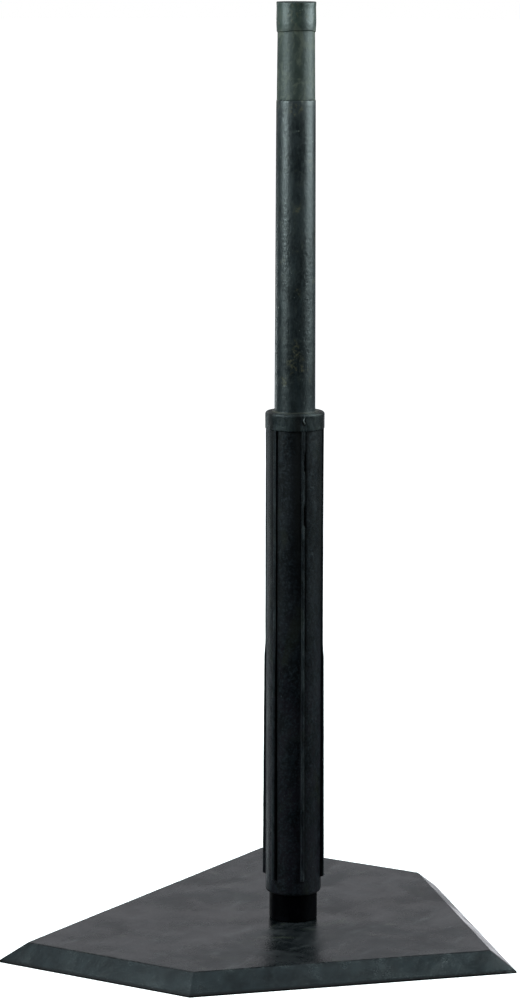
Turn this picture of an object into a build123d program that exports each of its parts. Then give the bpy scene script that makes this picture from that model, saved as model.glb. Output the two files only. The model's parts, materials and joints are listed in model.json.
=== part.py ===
from build123d import *
from math import cos, pi, radians, sin
import os

# Adjustable batting tee: a rubber home plate carries a fixed tube in a ribbed rubber
# sleeve, and a second tube with a soft ball cup slides and turns inside it.
# Frame: origin on the tube's axis at floor level, +Z up, +X towards the plate's point.
# All sizes are in millimetres.

# Home plate
PLATE_WIDTH = 431.8            # 17 in, across the straight front edge
PLATE_DEPTH = 406.4            # from the front edge to the point
PLATE_SIDE = 203.2             # the two sides square to the front edge
PLATE_THICKNESS = 16.8
PLATE_LIP = 1.2                # upright edge below the bevel
BEVEL_INSET = 19.4
TUBE_FROM_FRONT = 175.5        # front edge to the tube's axis
RECESS_RADIUS = 36.0           # underside recess for the bolt's washers

# M10 bolt group under the plate
BOLT_RADIUS = 5.0
BOLT_LENGTH = 55.0
HEX_ACROSS_FLATS = 17.0
BOLT_HEAD_HEIGHT = 6.4
BOLT_HEAD_LIFT = 0.6           # the head stays clear of the floor
NUT_HEIGHT = 8.4
LOCK_WASHER_THICKNESS = 2.2
LOCK_WASHER_RADIUS = 9.05
LOCK_WASHER_GAP = 1.6
BACKING_THICKNESS = 3.0
BACKING_RADIUS = 35.0
BOLT_CLEARANCE = 0.25

# Fixed tube and its plug
CORE_RADIUS = 21.65
CORE_BORE = 19.2
CORE_TOP = 430.0
CORE_FOOT_EDGE = 1.2           # chamfer where the tube stands on the plate
PLUG_TOP = 61.5
PIN_RADIUS = 2.5
PIN_LENGTH = 14.0
PIN_HEIGHT = 47.5

# Ribbed sleeve
SLEEVE_BOTTOM = 42.0
SLEEVE_RADIUS = 25.1
SLEEVE_EDGE = 3.0              # rounding of the lower rim
COLLAR_BOTTOM = 466.9
COLLAR_TOP = 482.3
COLLAR_RADIUS = 26.55
COLLAR_EDGE = 2.2
FIN_COUNT = 6
FIN_FIRST_ANGLE = 19.3         # from +X, in degrees
FIN_THICKNESS = 2.9
FIN_BOTTOM = 56.0
FIN_TOE_RISE = 1.2             # the fin's lower end slopes in over this height
FIN_STEP_LOW = 256.0           # the fins step inwards between these two heights
FIN_STEP_HIGH = 274.0
FIN_RADIUS_FOOT = 28.4
FIN_RADIUS_BELOW_STEP = 27.3
FIN_RADIUS_ABOVE_STEP = 26.3
FIN_ROOT_RADIUS = 23.5         # inside the sleeve's wall

# Bush in the sleeve's mouth
RUNNING_GAP = 0.05             # radial, between parts that turn or slide in each other
BUSH_RADIUS = 20.9
BUSH_BOTTOM = 434.5
BUSH_RIM_RISE = 0.6            # the rim stands this far above the collar
BEAD_RADIUS = 22.4             # bead that holds the bush in its groove
BEAD_BOTTOM = 450.0
BEAD_TOP = 453.0
BEAD_END_GAP = 0.1

# Sliding tube
TUBE_RADIUS = 18.32
TUBE_TOP_RADIUS = 17.5
TUBE_BORE = 13.2
TUBE_BOTTOM = 364.0
TUBE_TAPER_START = 486.0
TUBE_TOP = 758.5
TUBE_TOP_EDGE = 0.6

# Foot plug and friction rings
FOOT_BOTTOM = 352.0
FOOT_RADIUS = 18.9
FOOT_STEM_TOP = 404.0
FOOT_BORE = 8.0
RING_WIRE_RADIUS = 1.3
RING_HEIGHTS = (355.9, 360.1)
RING_GROOVE_GAP = 0.05

# Ball cup
CUP_TOP = 844.2
CUP_RADIUS = 17.6
CUP_TOP_EDGE = 0.8
LIP_BOTTOM = 818.6
LIP_STEP_RADIUS = 17.05        # the lip's lower edge stands out from the neck
LIP_ROUND_TOP = 826.0
NECK_RADIUS_TOP = 16.65
NECK_RADIUS_BOTTOM = 17.0
STEM_BOTTOM = 718.5
SEAT_RADIUS = 15.4             # inner edge of the rim that the ball rests on
SEAT_DEPTH = 6.2
MOUTH_RADIUS = 12.5
MOUTH_BOTTOM = 800.0
CUP_BORE = 9.0

BOLT_HEAD_TOP = BOLT_HEAD_LIFT + BOLT_HEAD_HEIGHT
LOCK_WASHER_TOP = BOLT_HEAD_TOP + LOCK_WASHER_THICKNESS
RECESS_DEPTH = LOCK_WASHER_TOP + BACKING_THICKNESS
RING_CENTRE_RADIUS = CORE_BORE - RUNNING_GAP - RING_WIRE_RADIUS


def cylinder(radius, bottom, top):
    """Solid cylinder on the Z axis between two heights."""
    return Pos(0, 0, bottom) * Cylinder(radius, top - bottom, align=(Align.CENTER, Align.CENTER, Align.MIN))


def tube(outer, inner, bottom, top):
    """Hollow cylinder on the Z axis between two heights."""
    return cylinder(outer, bottom, top) - cylinder(inner, bottom, top)


def hexagon(across_flats, bottom, top):
    """Hexagonal prism on the Z axis between two heights."""
    corner_radius = across_flats / 2 / cos(pi / 6)
    return Pos(0, 0, bottom) * extrude(RegularPolygon(corner_radius, 6), top - bottom)


def turned(points):
    """Solid of revolution about Z of a closed outline of (radius, height) points."""
    outline = Polyline(*[(radius, 0, height) for radius, height in points], close=True)
    return revolve(make_face(outline), Axis.Z)


def edges_at(solid, height, radius):
    """Circular edges of a solid at one height, with one radius."""
    circles = solid.edges().filter_by(GeomType.CIRCLE)
    return circles.filter_by(lambda e: abs(e.center().Z - height) < 0.01 and abs(e.radius - radius) < 0.01)


def home_plate_outline():
    """Five-sided outline, with its straight front edge on the -X side."""
    front = -TUBE_FROM_FRONT
    half = PLATE_WIDTH / 2
    corner = front + PLATE_SIDE
    point = front + PLATE_DEPTH
    return make_face(Polyline((front, -half), (corner, -half), (point, 0), (corner, half), (front, half), close=True))


def make_base_plate():
    outline = home_plate_outline()
    top_face = Pos(0, 0, PLATE_THICKNESS) * offset(outline, -BEVEL_INSET, kind=Kind.INTERSECTION)
    lip = extrude(outline, PLATE_LIP)
    bevelled = loft([Pos(0, 0, PLATE_LIP) * outline, top_face], ruled=True)
    recess = cylinder(RECESS_RADIUS, 0, RECESS_DEPTH)
    bolt_hole = cylinder(BOLT_RADIUS + BOLT_CLEARANCE, 0, PLATE_THICKNESS)
    return lip + bevelled - recess - bolt_hole


def make_base_bolt():
    head = hexagon(HEX_ACROSS_FLATS, BOLT_HEAD_LIFT, BOLT_HEAD_TOP)
    shank = cylinder(BOLT_RADIUS, BOLT_HEAD_TOP, BOLT_HEAD_TOP + BOLT_LENGTH)
    return head + chamfer(edges_at(shank, BOLT_HEAD_TOP + BOLT_LENGTH, BOLT_RADIUS), 1.0)


def make_lock_washer():
    ring = tube(LOCK_WASHER_RADIUS, BOLT_RADIUS + BOLT_CLEARANCE, BOLT_HEAD_TOP, LOCK_WASHER_TOP)
    split = Box(LOCK_WASHER_RADIUS, LOCK_WASHER_GAP, LOCK_WASHER_THICKNESS, align=(Align.MIN, Align.CENTER, Align.MIN))
    return ring - Pos(0, 0, BOLT_HEAD_TOP) * split


def make_backing_washer():
    return tube(BACKING_RADIUS, BOLT_RADIUS + BOLT_CLEARANCE, LOCK_WASHER_TOP, RECESS_DEPTH)


def make_plug_pins():
    """Two pins on the Y axis, whose outer ends follow the fixed tube's round outside."""
    pins = []
    for side in (-1, 1):
        middle = side * (CORE_RADIUS - PIN_LENGTH / 2)
        pin = Pos(0, middle, PIN_HEIGHT) * Rot(90, 0, 0) * Cylinder(PIN_RADIUS, PIN_LENGTH)
        pins.append(pin & cylinder(CORE_RADIUS, PLATE_THICKNESS, CORE_TOP))
    return pins


def make_core_tube(pins):
    core = cylinder(CORE_RADIUS, PLATE_THICKNESS, CORE_TOP)
    core = chamfer(edges_at(core, PLATE_THICKNESS, CORE_RADIUS), CORE_FOOT_EDGE)
    core -= cylinder(CORE_BORE, PLATE_THICKNESS, CORE_TOP)
    for pin in pins:
        core -= pin
    return core


def make_base_plug(pins):
    plug = tube(CORE_BORE, BOLT_RADIUS + BOLT_CLEARANCE, PLATE_THICKNESS, PLUG_TOP)
    plug -= hexagon(HEX_ACROSS_FLATS, PLUG_TOP - NUT_HEIGHT, PLUG_TOP)
    for pin in pins:
        plug -= pin
    return plug


def make_plug_nut():
    return hexagon(HEX_ACROSS_FLATS, PLUG_TOP - NUT_HEIGHT, PLUG_TOP) - cylinder(BOLT_RADIUS, 0, PLUG_TOP)


def make_fin(angle):
    """One lengthwise fin, thicker below its step than above it."""
    outline = Polyline(
        (FIN_ROOT_RADIUS, 0, FIN_BOTTOM),
        (FIN_RADIUS_FOOT - FIN_TOE_RISE, 0, FIN_BOTTOM),
        (FIN_RADIUS_FOOT, 0, FIN_BOTTOM + FIN_TOE_RISE),
        (FIN_RADIUS_BELOW_STEP, 0, FIN_STEP_LOW),
        (FIN_RADIUS_ABOVE_STEP, 0, FIN_STEP_HIGH),
        (FIN_RADIUS_ABOVE_STEP, 0, COLLAR_BOTTOM + COLLAR_EDGE),
        (FIN_ROOT_RADIUS, 0, COLLAR_BOTTOM + COLLAR_EDGE),
        close=True,
    )
    return Rot(0, 0, angle) * extrude(make_face(outline), FIN_THICKNESS / 2, dir=(0, 1, 0), both=True)


def make_ribbed_sleeve():
    body = cylinder(SLEEVE_RADIUS, SLEEVE_BOTTOM, COLLAR_TOP)
    body = fillet(edges_at(body, SLEEVE_BOTTOM, SLEEVE_RADIUS), SLEEVE_EDGE)
    collar = cylinder(COLLAR_RADIUS, COLLAR_BOTTOM, COLLAR_TOP)
    collar = fillet(edges_at(collar, COLLAR_TOP, COLLAR_RADIUS), COLLAR_EDGE)
    sleeve = body + collar
    for number in range(FIN_COUNT):
        sleeve += make_fin(FIN_FIRST_ANGLE + number * 360 / FIN_COUNT)
    mouth_radius = BUSH_RADIUS + RUNNING_GAP
    sleeve -= cylinder(CORE_RADIUS, SLEEVE_BOTTOM, CORE_TOP)
    sleeve -= cylinder(mouth_radius, CORE_TOP, COLLAR_TOP)
    return sleeve - cylinder(BEAD_RADIUS + RUNNING_GAP, BEAD_BOTTOM - BEAD_END_GAP, BEAD_TOP + BEAD_END_GAP)


def make_mouth_bush():
    barrel = cylinder(BUSH_RADIUS, BUSH_BOTTOM, COLLAR_TOP + BUSH_RIM_RISE)
    bead = cylinder(BEAD_RADIUS, BEAD_BOTTOM, BEAD_TOP)
    return barrel + bead - cylinder(TUBE_RADIUS + RUNNING_GAP, BUSH_BOTTOM, COLLAR_TOP + BUSH_RIM_RISE)


def make_upper_tube():
    return turned([
        (TUBE_BORE, TUBE_BOTTOM),
        (TUBE_RADIUS, TUBE_BOTTOM),
        (TUBE_RADIUS, TUBE_TAPER_START),
        (TUBE_TOP_RADIUS, TUBE_TOP - TUBE_TOP_EDGE),
        (TUBE_TOP_RADIUS - TUBE_TOP_EDGE, TUBE_TOP),
        (TUBE_BORE, TUBE_TOP),
    ])


def ring_at(height, radius, wire_radius):
    """Ring of round wire about the Z axis."""
    return Pos(0, 0, height) * Torus(radius, wire_radius)


def make_friction_rings():
    return [ring_at(height, RING_CENTRE_RADIUS, RING_WIRE_RADIUS) for height in RING_HEIGHTS]


def make_foot_plug():
    plug = cylinder(FOOT_RADIUS, FOOT_BOTTOM, TUBE_BOTTOM)
    plug += cylinder(TUBE_BORE, TUBE_BOTTOM, FOOT_STEM_TOP)
    plug -= cylinder(FOOT_BORE, FOOT_BOTTOM, FOOT_STEM_TOP)
    groove_half = RING_WIRE_RADIUS + RING_GROOVE_GAP
    groove_floor = RING_CENTRE_RADIUS - groove_half
    for height in RING_HEIGHTS:
        plug -= tube(CORE_RADIUS, groove_floor, height - groove_half, height + groove_half)
    return plug


def make_ball_cup():
    return turned([
        (CUP_BORE, STEM_BOTTOM),
        (TUBE_BORE, STEM_BOTTOM),
        (TUBE_BORE, TUBE_TOP),
        (NECK_RADIUS_BOTTOM, TUBE_TOP),
        (NECK_RADIUS_TOP, LIP_BOTTOM),
        (LIP_STEP_RADIUS, LIP_BOTTOM),
        (CUP_RADIUS, LIP_ROUND_TOP),
        (CUP_RADIUS, CUP_TOP - CUP_TOP_EDGE),
        (CUP_RADIUS - CUP_TOP_EDGE, CUP_TOP),
        (SEAT_RADIUS, CUP_TOP),
        (MOUTH_RADIUS, CUP_TOP - SEAT_DEPTH),
        (MOUTH_RADIUS, MOUTH_BOTTOM),
        (CUP_BORE, MOUTH_BOTTOM),
    ])


pins = make_plug_pins()
PARTS = {
    "base_plate": make_base_plate(),
    "base_bolt": make_base_bolt(),
    "lock_washer": make_lock_washer(),
    "backing_washer": make_backing_washer(),
    "plug_pins": Compound(children=pins),
    "core_tube": make_core_tube(pins),
    "base_plug": make_base_plug(pins),
    "plug_nut": make_plug_nut(),
    "ribbed_sleeve": make_ribbed_sleeve(),
    "mouth_bush": make_mouth_bush(),
    "upper_tube": make_upper_tube(),
    "foot_plug": make_foot_plug(),
    "friction_rings": Compound(children=make_friction_rings()),
    "ball_cup": make_ball_cup(),
}

os.makedirs("parts", exist_ok=True)
for name, shape in PARTS.items():
    export_step(shape, f"parts/{name}.step")
    print(f"{name}: {shape.volume / 1000:.1f} cm3")
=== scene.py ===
import json
import math
import bmesh
import bpy
from mathutils import Matrix, Vector, noise


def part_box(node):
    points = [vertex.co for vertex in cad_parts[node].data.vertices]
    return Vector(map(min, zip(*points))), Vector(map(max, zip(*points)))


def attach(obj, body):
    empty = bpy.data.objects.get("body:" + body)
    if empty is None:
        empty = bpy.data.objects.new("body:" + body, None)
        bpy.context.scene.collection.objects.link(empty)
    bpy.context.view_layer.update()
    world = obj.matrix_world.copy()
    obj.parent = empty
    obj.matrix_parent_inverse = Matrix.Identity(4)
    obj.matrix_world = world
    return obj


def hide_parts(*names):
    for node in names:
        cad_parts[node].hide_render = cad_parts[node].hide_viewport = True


# Looks of the batting tee. All lengths are in metres, in the frame of the CAD model:
# origin on the tube's axis at floor level, +Z up, +X towards the home plate's point.

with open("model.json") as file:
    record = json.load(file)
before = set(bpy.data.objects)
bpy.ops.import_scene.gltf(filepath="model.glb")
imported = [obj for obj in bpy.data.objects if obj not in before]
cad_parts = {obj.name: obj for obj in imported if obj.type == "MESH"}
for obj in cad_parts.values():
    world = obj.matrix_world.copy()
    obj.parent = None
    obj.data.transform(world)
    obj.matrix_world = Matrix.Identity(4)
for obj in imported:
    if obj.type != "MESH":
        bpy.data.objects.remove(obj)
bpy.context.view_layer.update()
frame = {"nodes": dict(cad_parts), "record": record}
MM = 0.001

# ---------------------------------------------------------------- sizes taken from the frame
plate_low, plate_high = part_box("base_plate")
sleeve_low, sleeve_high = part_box("ribbed_sleeve")
tube_low, tube_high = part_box("upper_tube")
cup_low, cup_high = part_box("ball_cup")
core_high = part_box("core_tube")[1]
bush_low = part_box("mouth_bush")[0]
washer_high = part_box("backing_washer")[1]
mouth = next(m for m in frame["record"]["mounts"] if m["name"] == "ball_mouth")

PLATE_TOP = plate_high.z
TUBE_RADIUS = tube_high.x
CUP_RADIUS = cup_high.x
CORE_RADIUS = core_high.x
MOUTH_RADIUS = mouth["dims"]["r_mm"] * MM
MOUTH_TOP = mouth["pos_m"][2]
MOUTH_DEPTH = mouth["dims"]["length_mm"] * MM

# ---------------------------------------------------------------- sizes that a box doesn't give
PLATE_SIDE = 203.2 * MM            # the two sides square to the front edge
PLATE_LIP = 1.2 * MM               # height of the upright rim under the bevels
PLATE_ARRIS = 1.1 * MM             # rounding round the top face
PLATE_FOOT_ARRIS = 0.3 * MM
PLATE_GRID = 9.0 * MM              # spacing of the cuts that let the faces wave a little
BEVEL_INSET = 19.4 * MM
RECESS_RADIUS = 36.0 * MM
BOLT_HOLE_RADIUS = 5.25 * MM

SLEEVE_RADIUS = 25.1 * MM
SLEEVE_EDGE = 3.0 * MM
CORE_GAP = 0.02 * MM               # between the core tube and what surrounds it
COLLAR_HEIGHT = 15.4 * MM
COLLAR_BOTTOM = sleeve_high.z - COLLAR_HEIGHT
COLLAR_RADIUS = 26.55 * MM
COLLAR_EDGE = 2.4 * MM
MOUTH_SEAT_RADIUS = 20.95 * MM     # the bush turns in this
BEAD_GROOVE = (449.9 * MM, 453.1 * MM)
BEAD_GROOVE_RADIUS = 22.45 * MM

FIN_COUNT = 6
FIN_PITCH = 2 * math.pi / FIN_COUNT
FIN_FIRST_ANGLE = math.radians(19.3)
FIN_BOTTOM = 56.0 * MM
FIN_TOE = 1.2 * MM
FIN_STEP = (256.0 * MM, 274.0 * MM)
FIN_RADII = (28.4 * MM, 27.3 * MM, 26.35 * MM)     # at the foot, and below and above the step
# One fin's section: how far along the wall from the fin's middle in mm, and the share of its height.
# It ends in the shallow dark groove that runs beside each fin.
FIN_SECTION = (
    (-1.95, 0.0), (-1.62, 0.10), (-1.48, 0.35), (-1.41, 0.78), (-1.25, 0.95), (-0.95, 1.0), (-0.60, 1.0),
    (-0.30, 1.0), (-0.10, 1.0), (0.10, 1.0), (0.30, 1.0), (0.60, 1.0), (0.95, 1.0), (1.25, 0.95),
    (1.41, 0.78), (1.48, 0.35), (1.60, -0.20), (1.95, -0.42), (2.30, -0.15), (2.60, 0.0),
)
WALL_POINTS = 11                   # between two fins
WALL_MIDDLE = 0.5 * (CORE_RADIUS + SLEEVE_RADIUS)  # radius that parts the outside from the inside

FLASH_FINS = (2, 5)                # the mould's parting plane runs through these two fins
FLASH_POINTS = (8, 9)              # the two middle points, which carry the moulding flash
TEARS = ((392.0 * MM, 24.0 * MM), (439.0 * MM, 20.0 * MM))     # where the flash has torn: middle, length
TEAR_DEPTH = 0.8 * MM
NICK_HEIGHT = 475.2 * MM           # middle of the torn nick in the collar
NICK_REACH = (2.3 * MM, 5.2 * MM)  # its half width and half height
NICK_LIFT = 0.7 * MM

TUBE_BORE = 13.2 * MM
TUBE_TOP_RADIUS = 17.5 * MM
TUBE_TAPER_START = 486.0 * MM
TUBE_SEAM_ANGLE = 0.4              # radians; there is a second seam opposite
NECK_RADII = (17.0 * MM, 16.65 * MM)
LIP_BOTTOM = 818.6 * MM
LIP_FULL = 825.5 * MM
SEAT_RADIUS = 15.4 * MM
CUP_BORE = 9.0 * MM
TURN_SEGMENTS = 144


# ---------------------------------------------------------------- mesh helpers
def smoothstep(low, high, value):
    """0 below low, 1 above high, and a smooth rise between them."""
    t = min(1.0, max(0.0, (value - low) / (high - low)))
    return t * t * (3 - 2 * t)


def wobble(point, size, seed):
    """Smooth noise from about -1 to 1, with features about as long as size."""
    return noise.noise(Vector(point) / size + Vector((seed, seed * 1.7, seed * 0.3)))


def rounded(corners, steps=4):
    """Outline through (radius, height, fillet) corners, each fillet drawn as an arc."""
    points = []
    count = len(corners)
    for i, (x, z, fillet) in enumerate(corners):
        here = Vector((x, z))
        if fillet == 0:
            points.append(here)
            continue
        before = (Vector(corners[i - 1][:2]) - here).normalized()
        after = (Vector(corners[(i + 1) % count][:2]) - here).normalized()
        half = before.angle(after) / 2
        reach = fillet / math.tan(half)
        centre = here + (before + after).normalized() * fillet / math.sin(half)
        start = here + before * reach - centre
        end = here + after * reach - centre
        sweep = start.angle_signed(end)
        for k in range(steps + 1):
            turn = Matrix.Rotation(-sweep * k / steps, 2)
            points.append(centre + turn @ start)
    return points


def spaced(outline, step_at):
    """The closed outline with its runs divided where they are longer than step_at(point)."""
    points = []
    for i, here in enumerate(outline):
        after = outline[(i + 1) % len(outline)]
        while (after - here).length > step_at(here):
            points.append(here)
            here = here + (after - here).normalized() * step_at(here)
        points.append(here)
    return points


def linked(name, data):
    """New object in the scene that shows this mesh, light or camera."""
    made = bpy.data.objects.new(name, data)
    bpy.context.scene.collection.objects.link(made)
    return made


def mesh_from(name, shape):
    """Turns a finished bmesh into a mesh."""
    mesh = bpy.data.meshes.new(name)
    shape.to_mesh(mesh)
    shape.free()
    return mesh


def in_fixed_order(name, mesh):
    """The mesh with its points and faces sorted, because a boolean lists them differently from run to run."""
    points = [tuple(v.co) for v in mesh.vertices]
    order = sorted(range(len(points)), key=points.__getitem__)
    place = {old: new for new, old in enumerate(order)}
    faces = [[place[i] for i in face.vertices] for face in mesh.polygons]
    ordered = bpy.data.meshes.new(name)
    ordered.from_pydata([points[i] for i in order], [], sorted(faces, key=sorted))
    return ordered


def smooth_object(name, mesh, sharp_angle=40):
    """Links a mesh as a smooth object whose edges sharper than sharp_angle stay crisp."""
    mesh.validate()
    mesh.shade_smooth()
    mesh.set_sharp_from_angle(angle=math.radians(sharp_angle))
    return linked(name, mesh)


def skin(name, rows, layers=()):
    """Closed tube of rings: each row is a ring of points, and the last row joins the first."""
    count = len(rows[0])
    faces = []
    for r in range(len(rows)):
        up = (r + 1) % len(rows)
        for i in range(count):
            j = (i + 1) % count
            faces.append((r * count + i, r * count + j, up * count + j, up * count + i))
    mesh = bpy.data.meshes.new(name)
    mesh.from_pydata([point for row in rows for point in row], [], faces)
    for label, values in dict(layers).items():
        layer = mesh.attributes.new(label, "FLOAT", "POINT")
        layer.data.foreach_set("value", [value for row in values for value in row])
    return smooth_object(name, mesh)


def lathe(name, outline, bend):
    """Turns an outline about Z; bend(radius, angle, height) gives each point's own radius and height."""
    rows = []
    for radius, height in outline:
        row = []
        for i in range(TURN_SEGMENTS):
            angle = 2 * math.pi * i / TURN_SEGMENTS
            own, level = bend(radius, angle, height)
            row.append((own * math.cos(angle), own * math.sin(angle), level))
        rows.append(row)
    return skin(name, rows)


def turned_solid(name, outline, segments):
    """Closed solid of an outline that starts and ends on the axis."""
    shape = bmesh.new()
    turns = [2 * math.pi * i / segments for i in range(segments)]
    rings = []
    for radius, height in outline:
        if radius == 0:
            rings.append([shape.verts.new((0, 0, height))])
        else:
            rings.append([shape.verts.new((radius * math.cos(a), radius * math.sin(a), height)) for a in turns])
    for lower, upper in zip(rings, rings[1:]):
        for i in range(segments):
            j = (i + 1) % segments
            corners = [lower[i % len(lower)], lower[j % len(lower)],
                       upper[j % len(upper)], upper[i % len(upper)]]
            shape.faces.new(list(dict.fromkeys(corners)))
    return linked(name, mesh_from(name, shape))


# ---------------------------------------------------------------- home plate
def plate_corners(inset):
    """The plate's five corners, moved in by inset from every side."""
    front, point = plate_low.x, plate_high.x
    half = plate_high.y
    side = front + PLATE_SIDE
    corners = [Vector(c) for c in ((front, -half), (side, -half), (point, 0), (side, half), (front, half))]
    moved = []
    for i, here in enumerate(corners):
        along_in = (here - corners[i - 1]).normalized()
        along_out = (corners[(i + 1) % 5] - here).normalized()
        square_in = Vector((-along_in.y, along_in.x))
        inward = square_in + Vector((-along_out.y, along_out.x))
        inward.normalize()
        moved.append(here + inward * inset / inward.dot(square_in))
    return moved


def plate_block():
    """The plate without its recess: an upright rim, five bevels and a flat top."""
    shape = bmesh.new()
    loops = []
    for inset, height in ((0, 0), (0, PLATE_LIP), (BEVEL_INSET, PLATE_TOP)):
        loops.append([shape.verts.new((c.x, c.y, height)) for c in plate_corners(inset)])
    shape.faces.new(reversed(loops[0]))
    shape.faces.new(loops[-1])
    for lower, upper in zip(loops, loops[1:]):
        for i in range(5):
            j = (i + 1) % 5
            shape.faces.new((lower[i], lower[j], upper[j], upper[i]))

    def soften(width, segments, chosen):
        edges = [e for e in shape.edges if chosen(*sorted(v.co.z for v in e.verts))]
        bmesh.ops.bevel(shape, geom=edges, offset=width, segments=segments, profile=0.5,
                        affect="EDGES", clamp_overlap=True)

    soften(PLATE_ARRIS, 4, lambda low, high: high > 0.9 * PLATE_TOP)
    soften(PLATE_FOOT_ARRIS, 2, lambda low, high: high < 0.1 * MM)
    return linked("plate_solid", mesh_from("plate_solid", shape))


def make_plate():
    body = plate_block()
    recess_top = washer_high.z
    beyond = PLATE_LIP             # how far the cutter stands out below and above
    step = [(0, -beyond), (RECESS_RADIUS, -beyond), (RECESS_RADIUS, recess_top),
            (BOLT_HOLE_RADIUS, recess_top), (BOLT_HOLE_RADIUS, PLATE_TOP + beyond), (0, PLATE_TOP + beyond)]
    cutter = turned_solid("plate_cutter", step, 96)
    cut = body.modifiers.new("recess", "BOOLEAN")
    cut.operation = "DIFFERENCE"
    cut.solver = "EXACT"
    cut.object = cutter
    graph = bpy.context.evaluated_depsgraph_get()
    mesh = bpy.data.meshes.new_from_object(body.evaluated_get(graph))
    for spent in (body, cutter):
        bpy.data.objects.remove(spent)

    shape = bmesh.new()
    shape.from_mesh(mesh)
    for axis, low, high in ((0, plate_low.x, plate_high.x), (1, plate_low.y, plate_high.y)):
        normal = Vector((axis == 0, axis == 1, 0))
        for k in range(1, int((high - low) / PLATE_GRID)):
            everything = shape.verts[:] + shape.edges[:] + shape.faces[:]
            bmesh.ops.bisect_plane(shape, geom=everything, dist=1e-6,
                                   plane_co=normal * (low + k * PLATE_GRID), plane_no=normal)
    for v in shape.verts:
        if v.co.z < PLATE_LIP * 0.5:
            continue
        clear = smoothstep(CORE_RADIUS, 3 * CORE_RADIUS, math.hypot(v.co.x, v.co.y))
        outer = smoothstep(0, PLATE_TOP, v.co.z)
        v.co.z += clear * outer * (0.18 * MM * wobble(v.co, 80 * MM, 3) + 0.03 * MM * wobble(v.co, 25 * MM, 8))
        v.co.x += clear * 0.05 * MM * wobble(v.co, 45 * MM, 5)
        v.co.y += clear * 0.05 * MM * wobble(v.co, 45 * MM, 11)
    return smooth_object("plate_skin", in_fixed_order("plate_skin", mesh_from("plate_waved", shape)), 28)


# ---------------------------------------------------------------- ribbed sleeve
def fin_radius(height):
    """How far out the fins reach at this height."""
    foot, below, above = FIN_RADII
    if height < FIN_STEP[0]:
        share = (height - FIN_BOTTOM) / (FIN_STEP[0] - FIN_BOTTOM)
        return foot + (below - foot) * share
    return below + (above - below) * smoothstep(*FIN_STEP, height)


def tear_share(height):
    """1 along the stretches where the flash has torn off, 0 away from them."""
    return max(1 - smoothstep(0.7 * length, length, 2 * abs(height - middle)) for middle, length in TEARS)


def flash_height(height, number):
    """The thin ragged line that the mould's joint leaves along a fin and up the collar, where it fades out."""
    ragged = 0.22 + 0.25 * noise.noise(Vector((height * 260, number, 0)))
    ragged += 0.25 * noise.noise(Vector((height * 800, number, 4)))
    ragged += tear_share(height) * (0.5 * noise.noise(Vector((height * 300, number, 9))) - 0.4)
    collar_top = smoothstep(sleeve_high.z - 2.4 * COLLAR_EDGE, sleeve_high.z - 1.1 * COLLAR_EDGE, height)
    return max(-0.6, ragged) * MM * (1 - collar_top)


def nick(angle, height):
    """A torn nick in the collar, above one of the flash fins: how far it lifts the surface, and how far it reaches,
    which sets the painted shade in its hollows.
    """
    centre = FIN_FIRST_ANGLE + FLASH_FINS[1] * FIN_PITCH
    across = math.remainder(angle - centre, 2 * math.pi) * COLLAR_RADIUS / NICK_REACH[0]
    along = (height - NICK_HEIGHT) / NICK_REACH[1]
    ragged = 0.25 * noise.noise(Vector((across * 1.6, along * 1.6, 2)))
    inside = 1 - smoothstep(0.45, 1.0, math.hypot(across, along) + ragged)
    tear = noise.noise(Vector((across * 2.5, along * 3.5, 5))) - 0.35
    wandering = across - 0.10 + 0.28 * math.sin(4.5 * along)
    ridge = 1.5 * max(0.0, 1 - abs(wandering) / 0.35) * smoothstep(-0.45, -0.2, along)
    return inside * (tear + ridge) * NICK_LIFT, inside


def sleeve_outline():
    """Closed section of the sleeve between two fins."""
    toe = [FIN_BOTTOM - 0.3 * MM, FIN_BOTTOM + 0.3 * MM, FIN_BOTTOM + 0.5 * FIN_TOE, FIN_BOTTOM + FIN_TOE]
    return rounded([
        (CORE_RADIUS + CORE_GAP, sleeve_low.z, 0.25 * MM),
        (SLEEVE_RADIUS, sleeve_low.z, SLEEVE_EDGE),
        *[(SLEEVE_RADIUS, height, 0) for height in toe],
        (SLEEVE_RADIUS, COLLAR_BOTTOM, 0.5 * MM),
        (COLLAR_RADIUS, COLLAR_BOTTOM, 0.6 * MM),
        (COLLAR_RADIUS, sleeve_high.z, COLLAR_EDGE),
        (MOUTH_SEAT_RADIUS, sleeve_high.z, 0.5 * MM),
        (MOUTH_SEAT_RADIUS, BEAD_GROOVE[1], 0),
        (BEAD_GROOVE_RADIUS, BEAD_GROOVE[1], 0),
        (BEAD_GROOVE_RADIUS, BEAD_GROOVE[0], 0),
        (MOUTH_SEAT_RADIUS, BEAD_GROOVE[0], 0),
        (MOUTH_SEAT_RADIUS, bush_low.z, 0),
        (CORE_RADIUS + CORE_GAP, bush_low.z - 1 * MM, 0),
    ])


def sleeve_step(point):
    """Spacing of the sleeve's rings: coarse inside, and finest from the tears up."""
    if point.x < WALL_MIDDLE:
        return 10 * MM
    return 0.8 * MM if point.y > TEARS[0][0] - TEARS[0][1] else 1.7 * MM


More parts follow.
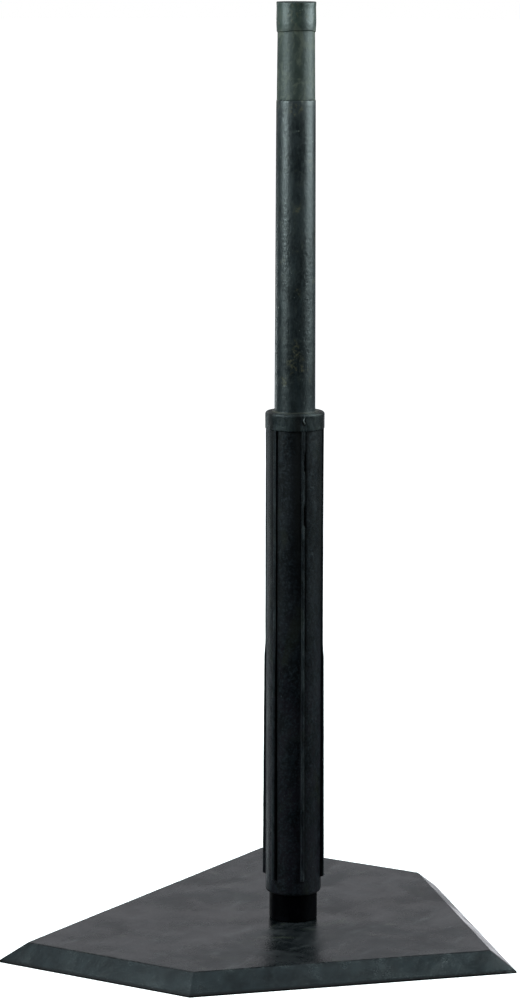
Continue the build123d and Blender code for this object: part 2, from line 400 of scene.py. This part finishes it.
def fin_points(number, radius, height, depth):
    """One fin at one height: the angle and radius of each point of its section, its wear with a painted highlight,
    and its grime with painted shade.
    """
    outside = radius > WALL_MIDDLE
    flashed = number in FLASH_FINS
    middle = FIN_FIRST_ANGLE + number * FIN_PITCH
    lean = 0.25 * MM * noise.noise(Vector((height * 7, number * 3.1, 0))) / SLEEVE_RADIUS if outside else 0.0
    side = 0.62 + 0.7 * noise.noise(Vector((height * 45, number * 2.3, 1)))
    streak = 0.55 * smoothstep(-0.3, 0.3, noise.noise(Vector((height * 60, number, 8))))
    points = []
    for index, (along, share) in enumerate(FIN_SECTION):
        own = radius + depth * share
        on_flash = flashed and index in FLASH_POINTS
        if on_flash and outside and height > FIN_BOTTOM:
            own += flash_height(height, number)
        crack = 0.0
        # Where the flash has torn, the fin is cut in as a notch, and the notch is also painted dark, a painted
        # shadow.
        if flashed and outside and 0.5 < along < 2.0:
            crack = smoothstep(-0.25, 0.05, noise.noise(Vector((height * 110, along * 0.8, 7))))
            crack *= tear_share(height)
            own -= TEAR_DEPTH * crack * (along < 1.3)
        # Painted highlight: the left arris gets more of the pale wear colour than the fin's other edges, and the
        # flash ridge the most, as if lit.
        rubbed_and_lit = 1.25 if on_flash else 1.0 if -1.3 < along < -0.9 else 0.5
        worn_and_lit = rubbed_and_lit * smoothstep(0.6, 0.97, share) * smoothstep(0.2, 1.2, depth / MM)
        # Painted shade: the fin's roots and the groove beside it are darkened, more on the fin's right side.
        low = (1 - smoothstep(0.0, 0.5, share)) * smoothstep(0.2, 1.0, depth / MM)
        line = streak * (abs(along - 0.6) < 0.2)
        shade_and_dirt = min(1.0, max((side if along > 0 else 0.4) * low, line, crack))
        points.append((middle + lean + along * MM / SLEEVE_RADIUS, own, worn_and_lit, shade_and_dirt))
    return points


def wall_points(number, radius, height):
    """The wall between one fin and the next: the angle, radius, wear and painted shade of each point; the shade
    darkens the upper wall towards the next fin.
    """
    middle = FIN_FIRST_ANGLE + number * FIN_PITCH
    start = middle + FIN_SECTION[-1][0] * MM / SLEEVE_RADIUS
    end = middle + FIN_PITCH + FIN_SECTION[0][0] * MM / SLEEVE_RADIUS
    # Painted shade: the upper part of the wall darkens towards the next fin.
    painted_shade = 0.85 * smoothstep(0.25, 0.38, height) if radius > WALL_MIDDLE else 0.0
    return [(start + (end - start) * k / (WALL_POINTS + 1), radius,
             0.0, painted_shade * smoothstep(0.45, 1.0, k / WALL_POINTS)) for k in range(1, WALL_POINTS + 1)]


def sleeve_ring(radius, height):
    """One ring of the sleeve: its points, and of each its wear with painted highlight, its grime with painted shade,
    and its painted glint.
    """
    outside = radius > WALL_MIDDLE
    rise = smoothstep(FIN_BOTTOM - 0.2 * MM, FIN_BOTTOM + FIN_TOE, height)
    finned = outside and height < COLLAR_BOTTOM + 1 * MM
    depth = max(0.0, fin_radius(height) - radius) * rise if finned else 0.0
    rim = smoothstep(sleeve_high.z - COLLAR_EDGE, sleeve_high.z, height) if outside else 0.0
    ring = []
    for number in range(FIN_COUNT):
        ring += fin_points(number, radius, height, depth)
        ring += wall_points(number, radius, height)
    points, wear_and_highlight, shade_and_grime, painted_glints = [], [], [], []
    for angle, own, worn_and_lit, shade_and_dirt in ring:
        painted_glint = 0.0
        if outside and height > COLLAR_BOTTOM:
            # Painted shade in the hollows of the nick, where it does not lift.
            lift, painted_shade = nick(angle, height)
            own += lift
            shade_and_dirt = max(shade_and_dirt, painted_shade - 2 * max(0.0, lift / MM))
            # Painted glint: where the nick lifts, it is painted pale as if catching the light.
            painted_glint = smoothstep(0.15, 0.4, lift / MM)
        if outside:
            around = Vector((math.cos(angle), math.sin(angle), height * 12))
            own += 0.11 * MM * noise.noise(around * 4.0) + 0.05 * MM * noise.noise(around * 13.0)
            own += rim * 0.18 * MM * noise.noise(around * 9.0)
        points.append((own * math.cos(angle), own * math.sin(angle), height))
        # The collar's top rim gets the pale wear colour too: partly worn rubber, partly a painted highlight along its
        # edge.
        wear_and_highlight.append(max(worn_and_lit, 0.6 * rim))
        shade_and_grime.append(shade_and_dirt)
        painted_glints.append(painted_glint)
    return points, wear_and_highlight, shade_and_grime, painted_glints


def make_sleeve():
    rings = [sleeve_ring(radius, height) for radius, height in spaced(sleeve_outline(), sleeve_step)]
    rows, wear_and_highlight, shade_and_grime, painted_glints = zip(*rings)
    return skin("sleeve_skin", rows, {"wear_and_highlight": wear_and_highlight, "shade_and_grime": shade_and_grime, "painted_glint": painted_glints})


# ---------------------------------------------------------------- sliding tube and its cup
def make_tube():
    outline = rounded([
        (TUBE_BORE + CORE_GAP, tube_low.z, 0.4 * MM),
        (TUBE_RADIUS, tube_low.z, 0.8 * MM),
        (TUBE_RADIUS, TUBE_TAPER_START, 0),
        (TUBE_TOP_RADIUS, tube_high.z, 0.7 * MM),
        (TUBE_BORE + CORE_GAP, tube_high.z, 0.4 * MM),
    ])
    middle = 0.5 * (TUBE_BORE + TUBE_TOP_RADIUS)

    def bend(radius, angle, height):
        if radius < middle:
            return radius, height
        around = Vector((math.cos(angle), math.sin(angle), height * 6))
        seam = abs(math.remainder(angle - TUBE_SEAM_ANGLE, math.pi)) * TUBE_RADIUS
        ridge = 0.05 * MM * max(0.0, 1 - seam / (0.6 * MM))
        rim = smoothstep(tube_high.z - 5 * MM, tube_high.z - 1 * MM, height)
        lumps = 0.22 * MM * rim * noise.noise(around * 2.6)
        return radius - 0.04 * MM + 0.03 * MM * noise.noise(around * 1.3) + ridge + lumps, height

    return lathe("tube_skin", spaced(outline, lambda point: 4 * MM), bend)


def make_cup():
    step = tube_high.z
    outline = rounded([
        (CUP_BORE, cup_low.z, 0.6 * MM),
        (TUBE_BORE, cup_low.z, 0.8 * MM),
        (TUBE_BORE, step, 0),
        (NECK_RADII[0], step, 0.45 * MM),
        (NECK_RADII[1] - 0.15 * MM, LIP_BOTTOM - 0.5 * MM, 0.25 * MM),
        (NECK_RADII[1] + 0.55 * MM, LIP_BOTTOM + 0.2 * MM, 0.3 * MM),
        (CUP_RADIUS, LIP_FULL, 6 * MM),
        (CUP_RADIUS - 0.25 * MM, cup_high.z - 5 * MM, 8 * MM),
        (CUP_RADIUS, cup_high.z, 0.8 * MM),
        (SEAT_RADIUS, cup_high.z, 0.8 * MM),
        (MOUTH_RADIUS, MOUTH_TOP, 2.0 * MM),
        (MOUTH_RADIUS, MOUTH_TOP - MOUTH_DEPTH, 1.0 * MM),
        (CUP_BORE, MOUTH_TOP - MOUTH_DEPTH, 0.6 * MM),
    ], 5)

    def bend(radius, angle, height):
        if height < step or radius < SEAT_RADIUS:
            return radius, height
        around = Vector((math.cos(angle), math.sin(angle), height * 14))
        soft = smoothstep(step, step + 12 * MM, height)
        radius += soft * (0.17 * MM * noise.noise(around * 1.1) + 0.06 * MM * noise.noise(around * 4.3))
        lip = 1 - smoothstep(1 * MM, 6 * MM, abs(height - LIP_BOTTOM))
        rim = smoothstep(cup_high.z - 4 * MM, cup_high.z, height)
        wave = 1.8 * lip * noise.noise(around * 1.7) - 0.05 * rim * (1 + noise.noise(around * 2.3))
        return radius, height + wave * MM

    return lathe("cup_skin", spaced(outline, lambda point: 2.5 * MM), bend)


# ---------------------------------------------------------------- shader helpers
class Nodes:
    """A node tree, with short calls for the few kinds of node used here."""

    def __init__(self, tree):
        self.tree = tree

    def node(self, kind, inputs=(), **settings):
        made = self.tree.nodes.new(kind)
        for name, value in settings.items():
            setattr(made, name, value)
        for key, value in dict(inputs).items():
            self.feed(made.inputs[key], value)
        return made

    def feed(self, socket, value):
        if isinstance(value, bpy.types.NodeSocket):
            self.tree.links.new(value, socket)
        else:
            socket.default_value = value

    def math(self, operation, a, b=0.0, clamp=False):
        return self.node("ShaderNodeMath", {0: a, 1: b}, operation=operation, use_clamp=clamp).outputs[0]

    def times(self, a, b):
        return self.math("MULTIPLY", a, b)

    def plus(self, a, b):
        return self.math("ADD", a, b)

    def dot(self, a, b):
        return self.node("ShaderNodeVectorMath", {0: a, 1: b}, operation="DOT_PRODUCT").outputs["Value"]

    def ramp(self, value, low, high, from_value=0.0, to_value=1.0):
        """Maps low..high to from_value..to_value, smoothly and clamped."""
        return self.node("ShaderNodeMapRange", {0: value, 1: low, 2: high, 3: from_value, 4: to_value},
                         interpolation_type="SMOOTHSTEP", clamp=True).outputs[0]


class Shader(Nodes):
    """A new material whose pattern is laid out in the object's own coordinates."""

    def __init__(self, name):
        self.material = bpy.data.materials.new(name)
        self.material.use_nodes = True
        super().__init__(self.material.node_tree)
        self.bsdf = self.tree.nodes["Principled BSDF"]
        self.place = self.node("ShaderNodeTexCoord").outputs["Object"]

    def height(self):
        return self.node("ShaderNodeSeparateXYZ", {0: self.place}).outputs[2]

    def attribute(self, name):
        """A value per point that the mesh carries."""
        return self.node("ShaderNodeAttribute", attribute_name=name).outputs["Fac"]

    def noise(self, size, detail=3.0, rough=0.55, warp=0.0, stretch=(1, 1, 1)):
        """Noise from 0 to 1 with features about as long as size, longer along an axis stretched below 1."""
        place = self.node("ShaderNodeMapping", {"Vector": self.place, "Scale": stretch}).outputs[0]
        return self.node("ShaderNodeTexNoise", {"Vector": place, "Scale": 1 / size, "Detail": detail,
                                                "Roughness": rough, "Distortion": warp}).outputs[0]

    def mix(self, share, a, b):
        return self.node("ShaderNodeMix", {0: share, 6: a, 7: b}, data_type="RGBA").outputs[2]

    def blend(self, a, share, b):
        """This share of the value a, and the rest of b."""
        return self.plus(self.times(a, share), self.times(b, 1 - share))

    def bump(self, height, distance, normal=None):
        inputs = {"Height": height, "Distance": distance, "Strength": 1.0}
        if normal is not None:
            inputs["Normal"] = normal
        return self.node("ShaderNodeBump", inputs).outputs[0]

    def finish(self, color, roughness, normal, specular=0.5, metallic=0.0):
        self.feed(self.bsdf.inputs["Base Color"], color)
        self.feed(self.bsdf.inputs["Roughness"], roughness)
        self.feed(self.bsdf.inputs["Normal"], normal)
        self.bsdf.inputs["Specular IOR Level"].default_value = specular
        self.bsdf.inputs["Metallic"].default_value = metallic
        return self.material


def brighter(color, factor):
    return [factor * c for c in color[:3]] + [1]


def beyond_top_face(s):
    """Distance outside the plate's top face: negative on the top, positive on the bevels."""
    top = plate_corners(BEVEL_INSET)
    outside = None
    for i, corner in enumerate(top):
        along = (top[(i + 1) % 5] - corner).normalized()
        out = Vector((along.y, -along.x, 0))
        reach = s.math("SUBTRACT", s.dot(s.place, out), out.xy.dot(corner))
        outside = reach if outside is None else s.math("MAXIMUM", outside, reach)
    return outside


def plate_rubber():
    """Scuffed black rubber: a hazy cloudy top, darker bevels, and painted shade: a black contact line along the foot
    where it meets the floor.
    """
    s = Shader("plate_rubber")
    clouds = s.noise(52 * MM, 5, 0.62, 0.7)
    smudges = s.noise(20 * MM, 6, 0.66, 0.5, (0.8, 1, 1))
    streaks = s.noise(15 * MM, 5, 0.65, 0.4, (1.7, 0.4, 1))
    grain = s.noise(0.7 * MM, 3, 0.6)
    color = s.mix(s.ramp(clouds, 0.34, 0.66), (0.0002, 0.0010, 0.0014, 1), (0.0050, 0.0060, 0.0070, 1))
    color = s.mix(s.ramp(smudges, 0.44, 0.67, 0.0, 0.7), color, (0.0155, 0.0160, 0.0172, 1))
    color = s.mix(s.ramp(streaks, 0.51, 0.75, 0.0, 0.6), color, (0.034, 0.035, 0.036, 1))
    stain = s.ramp(s.noise(26 * MM, 3, 0.6, 1.0), 0.60, 0.72, 0.0, 0.5)
    color = s.mix(stain, color, (0.026, 0.028, 0.021, 1))
    specks = s.ramp(s.noise(2.1 * MM, 2, 0.5), 0.77, 0.80)
    color = s.mix(specks, color, (0.20, 0.205, 0.20, 1))

    outside = beyond_top_face(s)
    slope = s.ramp(outside, 0.0, 1.5 * MM)
    patches = s.noise(20 * MM, 5, 0.62, 0.3)
    bevel = s.mix(s.ramp(patches, 0.25, 0.75), (0.0010, 0.0020, 0.0026, 1), (0.010, 0.014, 0.016, 1))
    bevel = s.mix(s.ramp(streaks, 0.42, 0.78, 0.0, 0.5), bevel, (0.020, 0.026, 0.028, 1))
    color = s.mix(slope, color, bevel)
    by_arris = s.ramp(s.math("ABSOLUTE", outside), 0.4 * MM, 3.0 * MM, 1.0, 0.0)
    scuffed = s.times(by_arris, s.ramp(s.noise(13 * MM, 5, 0.75), 0.52, 0.68, 0.0, 0.5))
    color = s.mix(scuffed, color, (0.046, 0.050, 0.051, 1))
    # Painted shade: the upright rim along the foot is painted near black, a painted contact shadow where the plate
    # meets the floor.
    edge = s.ramp(outside, BEVEL_INSET - 6 * MM, BEVEL_INSET - 4 * MM)
    foot = s.times(edge, s.ramp(s.height(), 1.9 * MM, 3.2 * MM, 1.0, 0.0))
    color = s.mix(foot, color, (0.0002, 0.0002, 0.0002, 1))

    haze = s.noise(44 * MM, 3, 0.5, 0.4)
    blotch = s.blend(s.blend(clouds, 0.4, smudges), 0.5, haze)
    roughness = s.ramp(blotch, 0.34, 0.64, 0.12, 0.34)
    roughness = s.math("SUBTRACT", roughness, s.times(slope, 0.04))
    roughness = s.math("SUBTRACT", roughness, s.times(foot, 0.3), True)
    pits = s.noise(2.8 * MM, 5, 0.72, 0.3)
    low = s.bump(streaks, 0.18 * MM, s.bump(smudges, 0.22 * MM))
    normal = s.bump(grain, 0.02 * MM, s.bump(pits, 0.15 * MM, low))
    return s.finish(color, roughness, normal)


def sleeve_rubber():
    """Dull blue-black rubber: dusty walls, worn fin edges with a painted highlight on their lit arrises, painted
    shade in the corners, tears and hollows together with dirt streaks, and a paler collar.
    """
    s = Shader("sleeve_rubber")
    height = s.height()
    clouds = s.noise(38 * MM, 5, 0.62, 0.8, (1, 1, 0.45))
    dust = s.noise(7 * MM, 6, 0.72, 0.8, (1, 1, 0.7))
    grain = s.noise(0.6 * MM, 3, 0.6)
    color = s.mix(s.ramp(clouds, 0.37, 0.66), (0.0001, 0.0003, 0.0007, 1), (0.0012, 0.0019, 0.0028, 1))
    color = s.mix(s.ramp(dust, 0.46, 0.66, 0.0, 0.8), color, (0.0054, 0.0077, 0.0104, 1))
    low_down = s.ramp(height, 0.18, 0.36, 0.85, 0.15)
    purple = s.times(low_down, s.ramp(s.noise(26 * MM, 3, 0.6, 1.0), 0.40, 0.58))
    color = s.mix(purple, color, (0.0056, 0.0043, 0.0070, 1))
    patchy = s.ramp(s.noise(8 * MM, 4, 0.7, 0.0, (1, 1, 0.4)), 0.40, 0.66, 0.05, 0.8)
    # Pale worn rubber, which also paints a highlight on the fins' lit arrises and along the collar's rim.
    color = s.mix(s.times(s.attribute("wear_and_highlight"), patchy), color, (0.044, 0.051, 0.053, 1))

    collar = s.ramp(height, COLLAR_BOTTOM - 1 * MM, COLLAR_BOTTOM + 1 * MM)
    ringed = s.mix(s.ramp(dust, 0.38, 0.66), (0.0020, 0.0038, 0.0044, 1), (0.0215, 0.0265, 0.0262, 1))
    color = s.mix(s.times(collar, 0.9), color, ringed)
    rim = s.ramp(height, sleeve_high.z - 0.8 * COLLAR_EDGE, sleeve_high.z - 0.2 * COLLAR_EDGE)
    sandy = s.times(rim, s.ramp(s.noise(5 * MM, 4, 0.7), 0.44, 0.64, 0.0, 0.85))
    color = s.mix(sandy, color, (0.018, 0.018, 0.015, 1))

    fine = s.ramp(s.noise(2.0 * MM, 4, 0.7), 0.49, 0.62, 0.0, 0.8)
    color = s.mix(fine, color, (0.0112, 0.0148, 0.0186, 1))
    specks = s.ramp(s.noise(2.4 * MM, 2, 0.5), 0.75, 0.79, 0.0, 0.8)
    color = s.mix(specks, color, (0.060, 0.066, 0.064, 1))
    olive = s.ramp(s.noise(34 * MM, 4, 0.65, 0.6, (1, 1, 0.6)), 0.54, 0.66, 0.0, 0.4)
    color = s.mix(olive, color, (0.0100, 0.0120, 0.0070, 1))
    # Painted shade at the fin roots, in the tears and hollows and across the walls near the fins, together with dirt
    # streaks.
    shade_and_grime = s.attribute("shade_and_grime")
    color = s.mix(shade_and_grime, color, (0.0002, 0.0003, 0.0003, 1))
    # Painted glint on the lifted nick.
    color = s.mix(s.attribute("painted_glint"), color, (0.085, 0.092, 0.090, 1))

    roughness = s.plus(s.ramp(clouds, 0.35, 0.65, 0.33, 0.49), s.times(s.math("POWER", shade_and_grime, 6.0), 0.55))
    roughness = s.math("SUBTRACT", roughness, s.times(collar, 0.05))
    pits = s.noise(2.6 * MM, 5, 0.72, 0.3)
    normal = s.bump(grain, 0.03 * MM, s.bump(pits, 0.38 * MM, s.bump(dust, 0.5 * MM)))
    return s.finish(color, roughness, normal, 0.17)


def tube_rubber(name, dark, pale, stained):
    """Greenish weathered rubber of the sliding tube and the cup, with the cup's darker neck, and painted shade
    darkening its top rim.
    """
    s = Shader(name)
    clouds = s.noise(27 * MM, 5, 0.62, 1.0, (1, 1, 0.5))
    streaks = s.noise(5 * MM, 5, 0.65, 0.3, (1, 1, 0.14))
    stains = s.noise(12 * MM, 5, 0.7, 1.3, (1, 1, 0.7))
    grain = s.noise(0.6 * MM, 3, 0.6)
    color = s.mix(s.ramp(clouds, 0.37, 0.65), dark, pale)
    color = s.mix(s.ramp(streaks, 0.52, 0.74, 0.0, 0.55), color, brighter(pale, 1.8))
    color = s.mix(s.ramp(stains, 0.53, 0.70, 0.0, 0.7), color, stained)
    bloom = s.ramp(s.noise(8 * MM, 5, 0.75, 0.8), 0.56, 0.72, 0.0, 0.5)
    color = s.mix(bloom, color, (0.040, 0.047, 0.044, 1))
    fine = s.ramp(s.noise(1.8 * MM, 4, 0.7), 0.42, 0.66, 0.0, 0.4)
    color = s.mix(fine, color, (0.026, 0.031, 0.031, 1))
    cluster = s.ramp(s.noise(21 * MM, 2, 0.5), 0.58, 0.66)
    tan = s.times(cluster, s.ramp(s.noise(3.2 * MM, 4, 0.65), 0.48, 0.66, 0.0, 0.7))
    color = s.mix(tan, color, (0.062, 0.056, 0.034, 1))
    specks = s.ramp(s.noise(2.2 * MM, 2, 0.5, 0.0, (1.1, 1, 0.9)), 0.72, 0.77, 0.0, 0.8)
    color = s.mix(specks, color, (0.16, 0.17, 0.15, 1))

    height = s.height()
    neck_bottom = s.ramp(height, tube_high.z - 0.5 * MM, tube_high.z + 0.5 * MM)
    neck = s.times(neck_bottom, s.ramp(height, LIP_BOTTOM, LIP_FULL, 1.0, 0.0))
    color = s.mix(s.times(neck, 0.75), color, (0.0075, 0.0130, 0.0090, 1))
    cloudy = s.times(neck, s.ramp(stains, 0.47, 0.60, 0.0, 0.8))
    color = s.mix(cloudy, color, (0.040, 0.044, 0.031, 1))
    # Painted shade: the cup's top rim is darkened and roughened.
    rim = s.ramp(height, cup_high.z - 1.3 * MM, cup_high.z - 0.4 * MM)
    color = s.mix(rim, color, (0.003, 0.005, 0.004, 1))

    roughness = s.ramp(s.blend(clouds, 0.4, stains), 0.36, 0.64, 0.31, 0.43)
    roughness = s.math("SUBTRACT", roughness, s.ramp(height, 0.50, 0.68, 0.035, 0.0))
    roughness = s.plus(roughness, s.times(neck, 0.13))
    roughness = s.plus(roughness, s.ramp(height, tube_high.z - 45 * MM, tube_high.z, 0.0, 0.07))
    roughness = s.math("ADD", roughness, s.times(rim, 0.4), True)
    pits = s.noise(2.8 * MM, 2, 0.5)
    normal = s.bump(grain, 0.02 * MM, s.bump(pits, 0.24 * MM, s.bump(clouds, 0.25 * MM)))
    return s.finish(color, roughness, normal)


def black_plastic(name, dark, pale, rough, specular=0.5):
    """Moulded plastic or rubber of the hidden parts, faintly scratched."""
    s = Shader(name)
    clouds = s.noise(12 * MM, 4, 0.6, 0.4)
    scratches = s.noise(1.6 * MM, 3, 0.6, 0.2, (1, 1, 0.15))
    color = s.mix(s.ramp(clouds, 0.4, 0.75), dark, pale)
    color = s.mix(s.ramp(scratches, 0.66, 0.8, 0.0, 0.3), color, brighter(pale, 2.2))
    roughness = s.ramp(clouds, 0.3, 0.7, rough - 0.05, rough + 0.08)
    normal = s.bump(scratches, 0.01 * MM, s.bump(s.noise(0.4 * MM, 2, 0.5), 0.01 * MM))
    return s.finish(color, roughness, normal, specular)


def zinc_steel():
    """Zinc-plated steel, spangled and a little tarnished."""
    s = Shader("zinc_steel")
    spangle = s.noise(4 * MM, 4, 0.6, 1.0)
    turning = s.noise(0.35 * MM, 2, 0.5, 0.0, (1, 1, 0.2))
    color = s.mix(s.ramp(spangle, 0.35, 0.7), (0.36, 0.37, 0.38, 1), (0.56, 0.57, 0.58, 1))
    tarnish = s.ramp(s.noise(9 * MM, 5, 0.7, 1.5), 0.55, 0.8, 0.0, 0.6)
    color = s.mix(tarnish, color, (0.20, 0.17, 0.12, 1))
    roughness = s.ramp(spangle, 0.3, 0.7, 0.28, 0.46)
    return s.finish(color, roughness, s.bump(turning, 0.01 * MM), 0.5, 1.0)


# ---------------------------------------------------------------- pieces
PIECES = (
    (make_plate, "base_plate", "root", "plate_rubber", plate_rubber()),
    (make_sleeve, "ribbed_sleeve", "root", "sleeve_rubber", sleeve_rubber()),
    (make_tube, "upper_tube", "upper_tube", "tube_rubber",
     tube_rubber("tube_rubber", (0.0028, 0.0048, 0.0058, 1), (0.0098, 0.0135, 0.0150, 1), (0.019, 0.022, 0.016, 1))),
    (make_cup, "ball_cup", "upper_tube", "cup_rubber",
     tube_rubber("cup_rubber", (0.0060, 0.0115, 0.0088, 1), (0.013, 0.022, 0.017, 1), (0.026, 0.030, 0.018, 1))),
)
for make, node, body, slot, material in PIECES:
    piece = make()
    piece.data.materials.append(material)
    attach(piece, body)
    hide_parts(node)

HARDWARE = {
    "zinc_steel": zinc_steel(),
    # The core tube is black plastic painted nearly pure black with almost no reflection, which adds painted shade for
    # the dark below the sleeve.
    "core_plastic": black_plastic("core_black_and_shade", (0.0002, 0.0002, 0.0005, 1), (0.0009, 0.0009, 0.0018, 1), 0.45, 0.03),
    "plug_plastic": black_plastic("plug_nylon", (0.02, 0.02, 0.021, 1), (0.032, 0.032, 0.034, 1), 0.45),
    "bush_plastic": black_plastic("bush_nylon", (0.022, 0.022, 0.018, 1), (0.060, 0.056, 0.044, 1), 0.42),
    "ring_rubber": black_plastic("ring_rubber", (0.012, 0.012, 0.012, 1), (0.02, 0.02, 0.02, 1), 0.6),
}
for entry in frame["record"]["subparts"]:
    shown = frame["nodes"][entry["node"]]
    if entry["material_slot"] in HARDWARE and not shown.hide_render:
        shown.data.materials.clear()
        shown.data.materials.append(HARDWARE[entry["material_slot"]])

# ---------------------------------------------------------------- studio
CAMERA_AZIMUTH = math.radians(31.321)
CAMERA_DISTANCE = 3.2216
CAMERA_HEIGHT = 0.9203
CAMERA_PITCH = math.radians(9.146)     # below the horizon
CAMERA_YAW = math.radians(-0.551)      # to the right of the tube's axis
CAMERA_ROLL = math.radians(0.119)
CAMERA_LENS = 131.16

FLOOR_RADIUS = 29
FLOOR_LEVEL = -0.0002                  # just clear of the plate's underside
DOME_RADIUS = 30
SKY_TINT = (0.985, 0.99, 1.05, 1)
SIDE_TINT = (0.81, 0.99, 1.0)
TOP_TINT = (0.84, 0.99, 1.06)


def towards(azimuth, elevation=0.0):
    """Unit vector from the object towards an azimuth counted as the camera's is."""
    flat = math.cos(elevation)
    return Vector((math.sin(azimuth) * flat, -math.cos(azimuth) * flat, math.sin(elevation)))


def make_camera():
    camera = linked("camera", bpy.data.cameras.new("camera"))
    camera.data.lens = CAMERA_LENS
    camera.data.clip_end = 100
    camera.location = towards(CAMERA_AZIMUTH) * CAMERA_DISTANCE + Vector((0, 0, CAMERA_HEIGHT))
    level = Matrix.Rotation(CAMERA_AZIMUTH - CAMERA_YAW, 4, "Z") @ Matrix.Rotation(math.pi / 2, 4, "X")
    tilt = Matrix.Rotation(-CAMERA_PITCH, 4, "X") @ Matrix.Rotation(CAMERA_ROLL, 4, "Z")
    camera.rotation_euler = (level @ tilt).to_euler()
    bpy.context.scene.camera = camera


def softbox(name, azimuth, distance, height, size, radiance, color, drop=0.0):
    """Area light at azimuth degrees from the camera's side, facing a point on the tube's axis that is
    lower than the light by drop; radiance is its brightness as seen in a mirror."""
    light = bpy.data.lights.new(name, "AREA")
    light.shape = "RECTANGLE"
    light.size, light.size_y = size
    light.energy = math.pi * radiance * size[0] * size[1]
    light.color = color
    lamp = linked(name, light)
    lamp.location = towards(CAMERA_AZIMUTH + math.radians(azimuth)) * distance + Vector((0, 0, height))
    aim = Vector((0, 0, height - drop)) - lamp.location
    lamp.rotation_euler = aim.to_track_quat("-Z", "Y").to_euler()
    lamp.visible_camera = False


def hide_from(piece, *rays):
    for ray in rays:
        setattr(piece, f"visible_{ray}", False)


def make_floor():
    """Pale paper that glows more with distance, so that it runs into the white surround."""
    shape = bmesh.new()
    bmesh.ops.create_circle(shape, cap_ends=True, segments=96, radius=FLOOR_RADIUS)
    floor = linked("floor", mesh_from("floor", shape))
    floor.location.z = FLOOR_LEVEL
    s = Shader("floor_paper")
    tone = s.ramp(s.noise(0.4, 3, 0.5), 0.3, 0.7, 0.84, 0.88)
    shade = s.node("ShaderNodeCombineColor", {0: tone, 1: tone, 2: tone}).outputs[0]
    s.finish(shade, 0.9, s.bump(s.noise(0.002, 2, 0.5), 0.0001), 0.1)
    s.bsdf.inputs["Emission Color"].default_value = (1, 1, 1, 1)
    away = s.node("ShaderNodeVectorMath", {0: s.place}, operation="LENGTH").outputs["Value"]
    s.feed(s.bsdf.inputs["Emission Strength"], s.ramp(away, 0.6, 2.6, 0.62, 0.99))
    floor.data.materials.append(s.material)
    hide_from(floor, "glossy", "diffuse", "shadow")


def make_dome():
    """Plain white surround that only the camera sees."""
    shape = bmesh.new()
    bmesh.ops.create_uvsphere(shape, u_segments=48, v_segments=24, radius=DOME_RADIUS)
    dome = linked("dome", mesh_from("dome", shape))
    material = bpy.data.materials.new("dome_white")
    material.use_nodes = True
    material.node_tree.nodes.clear()
    nodes = Nodes(material.node_tree)
    glow = nodes.node("ShaderNodeEmission", {"Strength": 1.0}).outputs[0]
    nodes.node("ShaderNodeOutputMaterial", {"Surface": glow})
    dome.data.materials.append(material)
    hide_from(dome, "diffuse", "glossy", "transmission", "volume_scatter", "shadow")


def make_world():
    """Dim surround: dark below the horizon, a grey band above it that is brighter behind the tee,
    and low down behind the tee a pale wall with a bright patch."""
    world = bpy.data.worlds.new("studio")
    bpy.context.scene.world = world
    world.use_nodes = True
    n = Nodes(world.node_tree)
    direction = n.node("ShaderNodeTexCoord").outputs["Generated"]
    height = n.node("ShaderNodeSeparateXYZ", {0: direction}).outputs[2]
    behind = n.dot(direction, -towards(CAMERA_AZIMUTH))
    band = n.times(n.ramp(height, 0.07, 0.21), n.ramp(height, 0.42, 0.62, 1.0, 0.06))
    sky = n.times(band, n.ramp(behind, -0.3, 0.4, 0.12, 0.45))
    low_wall = n.times(n.ramp(behind, 0.45, 0.9, 0.0, 0.09), n.ramp(height, -0.02, -0.12))
    patch = n.dot(direction, towards(CAMERA_AZIMUTH + math.radians(180 - 9), math.radians(-9)))
    bright = n.times(n.ramp(patch, 0.968, 0.988, 0.0, 0.85), n.ramp(height, -0.05, -0.10))
    total = n.plus(n.plus(n.plus(sky, low_wall), bright), 0.012)
    background = world.node_tree.nodes["Background"]
    n.feed(background.inputs["Strength"], total)
    background.inputs["Color"].default_value = SKY_TINT


make_camera()
make_floor()
make_dome()
make_world()
# name, azimuth, distance, height, size, radiance, colour, drop
softbox("left_box", -64, 1.5, 1.58, (0.75, 1.8), 15.8, SIDE_TINT)
softbox("right_box", 88, 1.5, 1.55, (1.3, 1.8), 10.8, SIDE_TINT)
softbox("left_fill", -64, 1.5, 0.0, (0.75, 1.04), 0.20, SIDE_TINT)
softbox("right_fill", 88, 1.5, 0.0, (1.3, 1.04), 0.25, SIDE_TINT)
softbox("left_rim", -138, 1.5, 0.05, (0.20, 1.0), 4.4, (0.86, 0.97, 1.0))
softbox("top_box", 0, 0.01, 2.4, (2.4, 2.4), 0.40, TOP_TINT, 1.0)
softbox("top_left_box", -105, 1.42, 2.4, (0.9, 1.1), 0.65, TOP_TINT, 2.4)
softbox("back_left_box", -150, 2.6, 1.5, (1.2, 1.6), 1.0, (1.0, 1.0, 1.0), 0.6)

scene = bpy.context.scene
scene.view_settings.view_transform = "Standard"
scene.view_settings.look = "None"
